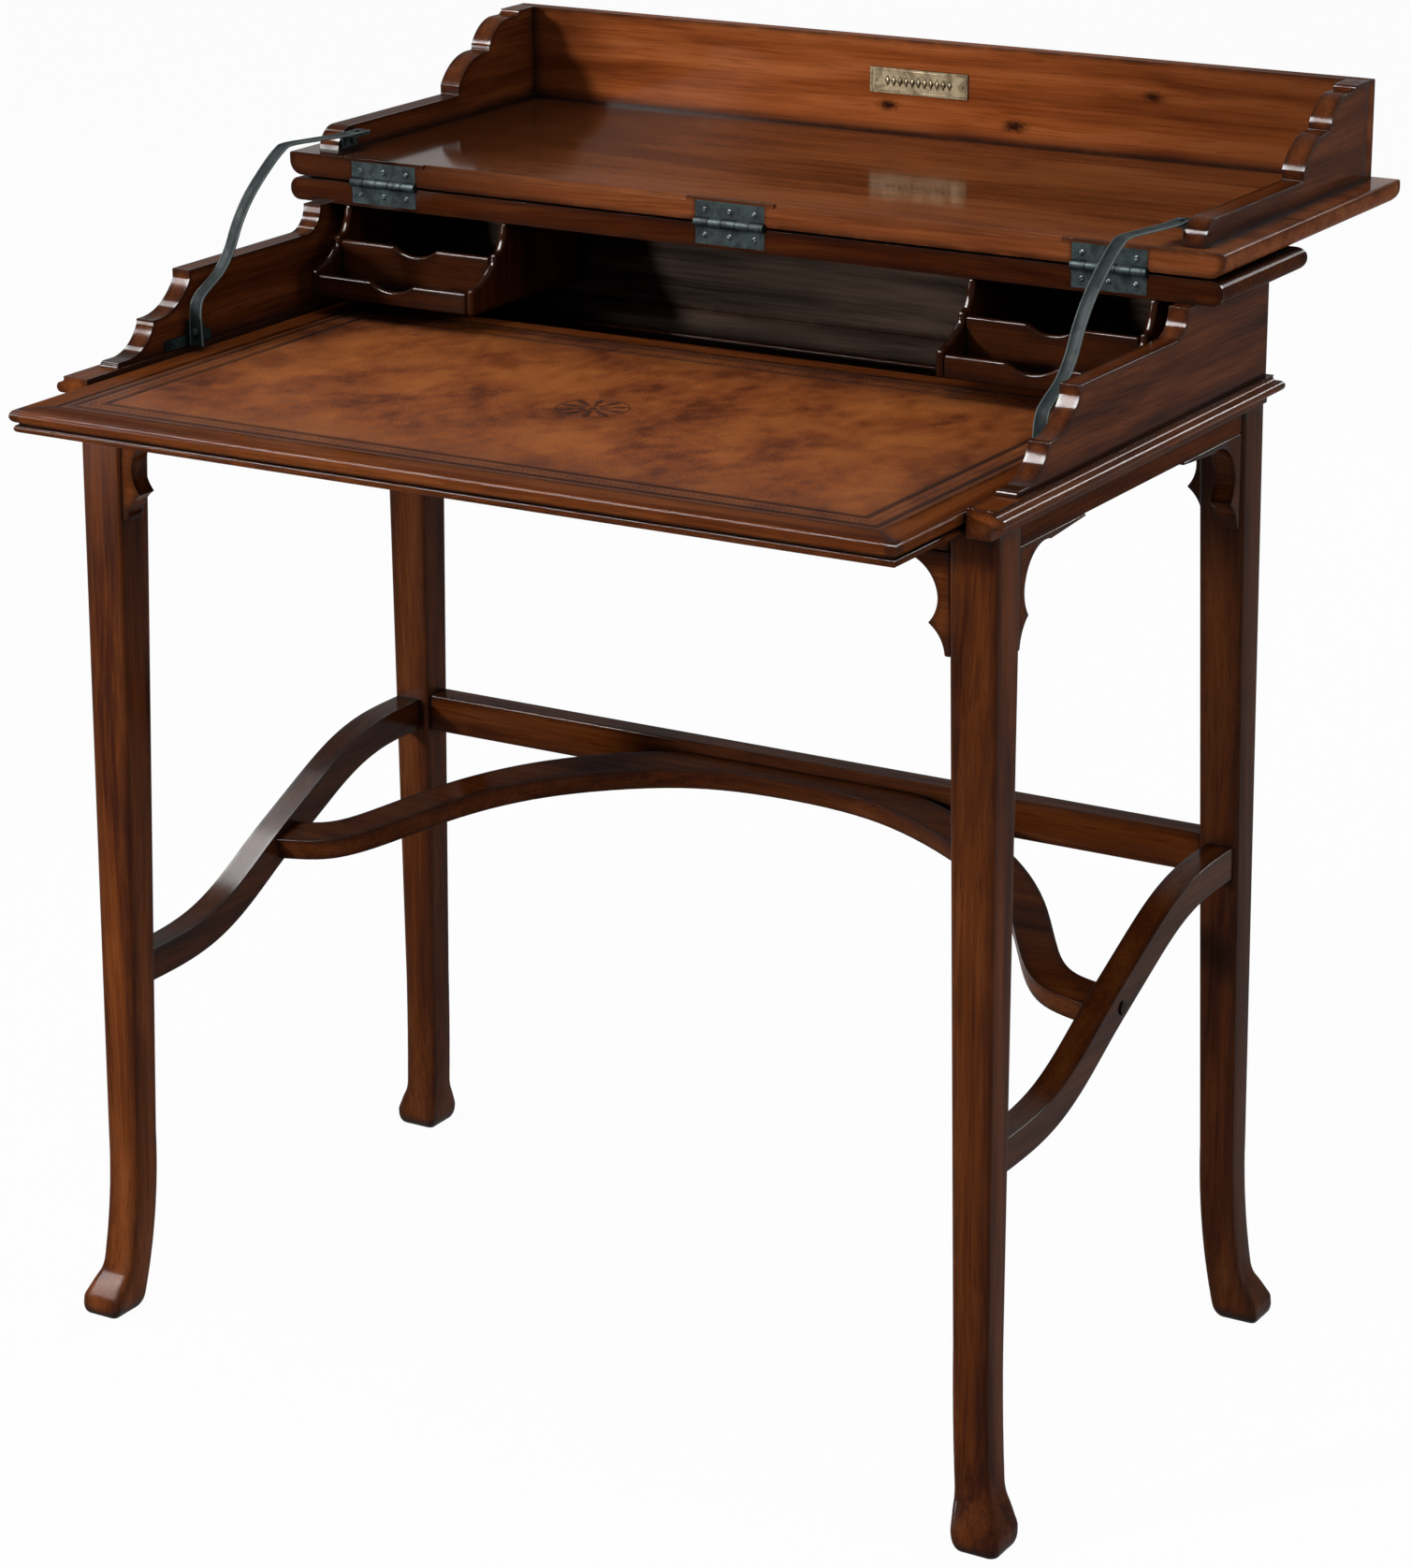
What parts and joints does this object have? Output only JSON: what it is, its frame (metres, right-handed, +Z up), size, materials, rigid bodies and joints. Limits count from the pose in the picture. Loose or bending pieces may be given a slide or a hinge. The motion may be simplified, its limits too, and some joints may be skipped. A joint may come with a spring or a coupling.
{
  "type": "campaign writing desk",
  "caption": "Campaign writing desk on slender swept legs with bowed stretchers, a lid that folds back on hinges and straps, a leather-topped slide and letter racks.",
  "frame": {"origin": "on the floor, under the middle of the desk as it stands open with its slide drawn out", "axes": "+Z up, +X to the right of a person who looks at the front, -Y towards the front, the way the slide is pulled"},
  "size_m": [0.817, 0.7294, 0.9545],
  "materials": {
    "mahogany": "polished dark red-brown mahogany",
    "leather": "worn tan writing leather with a dark tooled border",
    "strap": "aged grey-green stay strap",
    "dark_brass": "dark patinated brass",
    "plate_brass": "antique brass, left blank"
  },
  "bodies": {
    "case": {"leg_front_right": "mahogany", "leg_front_left": "mahogany", "leg_back_right": "mahogany", "leg_back_left": "mahogany", "apron_front": "mahogany", "apron_back": "mahogany", "apron_right": "mahogany", "apron_left": "mahogany", "brackets_front_right": "mahogany", "brackets_front_left": "mahogany", "brackets_back_right": "mahogany", "brackets_back_left": "mahogany", "stretcher_right": "mahogany", "stretcher_left": "mahogany", "stretcher_back": "mahogany", "stretcher_bow": "mahogany", "stretcher_pegs": "mahogany", "floor_board": "mahogany", "floor_cleats": "mahogany", "base_strip_right": "mahogany", "base_strip_left": "mahogany", "base_strip_back": "mahogany", "side_panel_right": "mahogany", "side_panel_left": "mahogany", "back_panel": "mahogany", "hinge_leaves_case": "dark_brass", "hinge_pins": "dark_brass", "hinge_screws_case": "dark_brass", "fixed_top": "mahogany", "rack_right_ends": "mahogany", "rack_right_front_lip": "mahogany", "rack_right_rear_lip": "mahogany", "rack_right_floor": "mahogany", "rack_left_ends": "mahogany", "rack_left_front_lip": "mahogany", "rack_left_rear_lip": "mahogany", "rack_left_floor": "mahogany", "strap_right": "strap", "strap_left": "strap", "strap_feet": "dark_brass", "strap_foot_fasteners": "dark_brass"},
    "lid": {"lid_board": "mahogany", "lid_side_right": "mahogany", "lid_side_left": "mahogany", "gallery_board": "mahogany", "plate": "plate_brass", "plate_pins": "plate_brass", "hinge_leaves_lid": "dark_brass", "hinge_screws_lid": "dark_brass", "strap_clips": "dark_brass", "strap_clip_fasteners": "dark_brass"},
    "slide": {"slide_rail_front": "mahogany", "slide_rail_back": "mahogany", "slide_rail_right": "mahogany", "slide_rail_left": "mahogany", "slide_panel": "mahogany", "writing_leather": "leather", "slide_runners": "mahogany"}
  },
  "joints": [
    {"name": "lid_hinge", "type": "hinge", "parent": "case", "child": "lid", "pos_m": [0, 0.04275, 0.859], "axis": [1, 0, 0], "range_deg": [0, 180], "deforming": ["strap_right", "strap_left"]},
    {"name": "slide_pull", "type": "slide", "parent": "case", "child": "slide", "axis": [0, -1, 0], "range_m": [-0.093, 0]}
  ]
}
